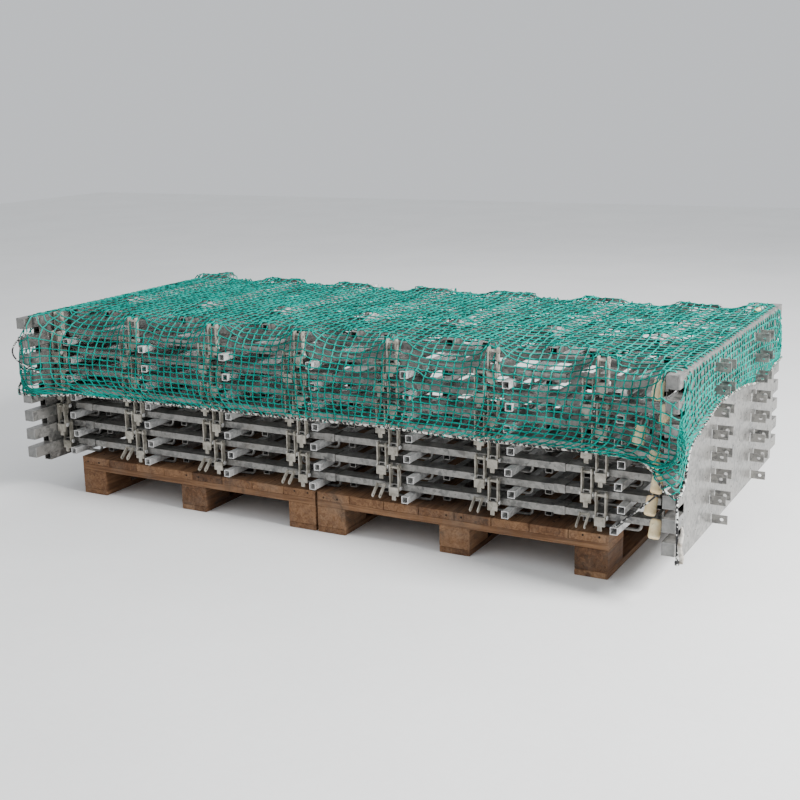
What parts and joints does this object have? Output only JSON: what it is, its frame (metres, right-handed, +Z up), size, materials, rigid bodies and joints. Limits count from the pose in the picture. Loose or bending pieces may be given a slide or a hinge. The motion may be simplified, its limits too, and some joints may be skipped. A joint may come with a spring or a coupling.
{
  "type": "palletised stack of feed barrier panels under a load net",
  "caption": "Galvanised self-locking feed barrier panels stacked flat on two wooden block pallets, covered with a green knotted load net that has an elastic hem cord.",
  "frame": {"origin": "on the floor, under the centre of the panel stack", "axes": "+X along the panels towards the end with the hand grips, +Y into the load, away from the side with the latches, +Z up"},
  "size_m": [2.617, 1.354, 0.7115],
  "materials": {
    "pallet_wood": "weathered, rough sawn",
    "galvanised": "hot-dip galvanised, mottled",
    "bright_zinc": "fresh zinc, satin",
    "cream_zinc": "dull zinc with a warm bloom",
    "cap_plastic": "matt grey",
    "grip_plastic": "aged cream, slightly soft",
    "net_twine": "knotted plastic twine",
    "elastic_cord": "braided cover with light flecks"
  },
  "bodies": {
    "pallets": {"pallet_deck_boards": "pallet_wood", "pallet_stringer_boards": "pallet_wood", "pallet_blocks": "pallet_wood", "pallet_bottom_boards": "pallet_wood"},
    "panel_1": {"panel_1_frame": "galvanised", "panel_1_neck_bars": "bright_zinc", "panel_1_latches": "cream_zinc", "panel_1_plastics": "cap_plastic"},
    "panel_2": {"panel_2_frame": "galvanised", "panel_2_neck_bars": "bright_zinc", "panel_2_latches": "cream_zinc", "panel_2_plastics": "cap_plastic"},
    "panel_3": {"panel_3_frame": "galvanised", "panel_3_end_caps": "cap_plastic", "panel_3_latch_1": "cream_zinc"},
    "panel_3_control": {"panel_3_control": "galvanised", "panel_3_grip": "grip_plastic"},
    "neck_bar_1": {"panel_3_neck_bar_1": "bright_zinc"},
    "neck_bar_2": {"panel_3_neck_bar_2": "bright_zinc"},
    "latch_2": {"panel_3_latch_2": "cream_zinc"},
    "neck_bar_3": {"panel_3_neck_bar_3": "bright_zinc"},
    "latch_3": {"panel_3_latch_3": "cream_zinc"},
    "neck_bar_4": {"panel_3_neck_bar_4": "bright_zinc"},
    "latch_4": {"panel_3_latch_4": "cream_zinc"},
    "neck_bar_5": {"panel_3_neck_bar_5": "bright_zinc"},
    "latch_5": {"panel_3_latch_5": "cream_zinc"},
    "neck_bar_6": {"panel_3_neck_bar_6": "bright_zinc"},
    "latch_6": {"panel_3_latch_6": "cream_zinc"},
    "neck_bar_7": {"panel_3_neck_bar_7": "bright_zinc"},
    "latch_7": {"panel_3_latch_7": "cream_zinc"},
    "panel_4": {"panel_4_frame": "galvanised", "panel_4_neck_bars": "bright_zinc", "panel_4_latches": "cream_zinc", "panel_4_plastics": "cap_plastic"},
    "panel_5": {"panel_5_frame": "galvanised", "panel_5_neck_bars": "bright_zinc", "panel_5_latches": "cream_zinc", "panel_5_plastics": "cap_plastic"},
    "panel_6": {"panel_6_frame": "galvanised", "panel_6_neck_bars": "bright_zinc", "panel_6_latches": "cream_zinc", "panel_6_plastics": "cap_plastic"},
    "panel_7": {"panel_7_frame": "galvanised", "panel_7_neck_bars": "bright_zinc", "panel_7_latches": "cream_zinc", "panel_7_plastics": "cap_plastic"},
    "panel_8": {"panel_8_frame": "galvanised", "panel_8_neck_bars": "bright_zinc", "panel_8_latches": "cream_zinc", "panel_8_plastics": "cap_plastic"},
    "net": {"load_net": "net_twine", "hem_cord": "elastic_cord", "slack_loop": "elastic_cord", "hook_tie": "elastic_cord", "hem_tail": "elastic_cord", "tail_knot": "elastic_cord"}
  },
  "joints": [
    {"name": "panel_1_lift", "type": "slide", "parent": "pallets", "child": "panel_1", "axis": [0, 0, 1], "range_m": [0, 0.3]},
    {"name": "panel_2_lift", "type": "slide", "parent": "panel_1", "child": "panel_2", "axis": [0, 0, 1], "range_m": [0, 0.3]},
    {"name": "panel_3_lift", "type": "slide", "parent": "panel_2", "child": "panel_3", "axis": [0, 0, 1], "range_m": [0, 0.3]},
    {"name": "panel_4_lift", "type": "slide", "parent": "panel_3", "child": "panel_4", "axis": [0, 0, 1], "range_m": [0, 0.3]},
    {"name": "panel_5_lift", "type": "slide", "parent": "panel_4", "child": "panel_5", "axis": [0, 0, 1], "range_m": [0, 0.3]},
    {"name": "panel_6_lift", "type": "slide", "parent": "panel_5", "child": "panel_6", "axis": [0, 0, 1], "range_m": [0, 0.3]},
    {"name": "panel_7_lift", "type": "slide", "parent": "panel_6", "child": "panel_7", "axis": [0, 0, 1], "range_m": [0, 0.3]},
    {"name": "panel_8_lift", "type": "slide", "parent": "panel_7", "child": "panel_8", "axis": [0, 0, 1], "range_m": [0, 0.3]},
    {"name": "net_lift", "type": "slide", "parent": "panel_8", "child": "net", "axis": [0, 0, 1], "range_m": [0, 0.45]},
    {"name": "neck_bar_1_swing", "type": "hinge", "parent": "panel_3", "child": "neck_bar_1", "pos_m": [-1.112, 0.15, 0.3075], "axis": [0, 0, 1], "range_deg": [-2.3, 2.3]},
    {"name": "neck_bar_2_swing", "type": "hinge", "parent": "panel_3", "child": "neck_bar_2", "pos_m": [-0.755, 0.15, 0.3075], "axis": [0, 0, 1], "range_deg": [-2.3, 2.3]},
    {"name": "neck_bar_3_swing", "type": "hinge", "parent": "panel_3", "child": "neck_bar_3", "pos_m": [-0.398, 0.15, 0.3075], "axis": [0, 0, 1], "range_deg": [-2.3, 2.3]},
    {"name": "neck_bar_4_swing", "type": "hinge", "parent": "panel_3", "child": "neck_bar_4", "pos_m": [-0.041, 0.15, 0.3075], "axis": [0, 0, 1], "range_deg": [-2.3, 2.3]},
    {"name": "neck_bar_5_swing", "type": "hinge", "parent": "panel_3", "child": "neck_bar_5", "pos_m": [0.316, 0.15, 0.3075], "axis": [0, 0, 1], "range_deg": [-2.3, 2.3]},
    {"name": "neck_bar_6_swing", "type": "hinge", "parent": "panel_3", "child": "neck_bar_6", "pos_m": [0.673, 0.15, 0.3075], "axis": [0, 0, 1], "range_deg": [-2.3, 2.3]},
    {"name": "neck_bar_7_swing", "type": "hinge", "parent": "panel_3", "child": "neck_bar_7", "pos_m": [1.03, 0.15, 0.3075], "axis": [0, 0, 1], "range_deg": [-2.3, 2.3]},
    {"name": "latch_2_fold", "type": "hinge", "parent": "panel_3", "child": "latch_2", "pos_m": [-0.819, -0.5, 0.3335], "axis": [1, 0, 0], "range_deg": [0, 45]},
    {"name": "latch_3_fold", "type": "hinge", "parent": "panel_3", "child": "latch_3", "pos_m": [-0.462, -0.5, 0.3335], "axis": [1, 0, 0], "range_deg": [0, 45]},
    {"name": "latch_4_fold", "type": "hinge", "parent": "panel_3", "child": "latch_4", "pos_m": [-0.105, -0.5, 0.3335], "axis": [1, 0, 0], "range_deg": [0, 45]},
    {"name": "latch_5_fold", "type": "hinge", "parent": "panel_3", "child": "latch_5", "pos_m": [0.252, -0.5, 0.3335], "axis": [1, 0, 0], "range_deg": [0, 45]},
    {"name": "latch_6_fold", "type": "hinge", "parent": "panel_3", "child": "latch_6", "pos_m": [0.609, -0.5, 0.3335], "axis": [1, 0, 0], "range_deg": [0, 45]},
    {"name": "latch_7_fold", "type": "hinge", "parent": "panel_3", "child": "latch_7", "pos_m": [0.966, -0.5, 0.3335], "axis": [1, 0, 0], "range_deg": [0, 45]},
    {"name": "control_slide", "type": "slide", "parent": "panel_3", "child": "panel_3_control", "axis": [1, 0, 0], "range_m": [-0.04, 0.02]}
  ]
}
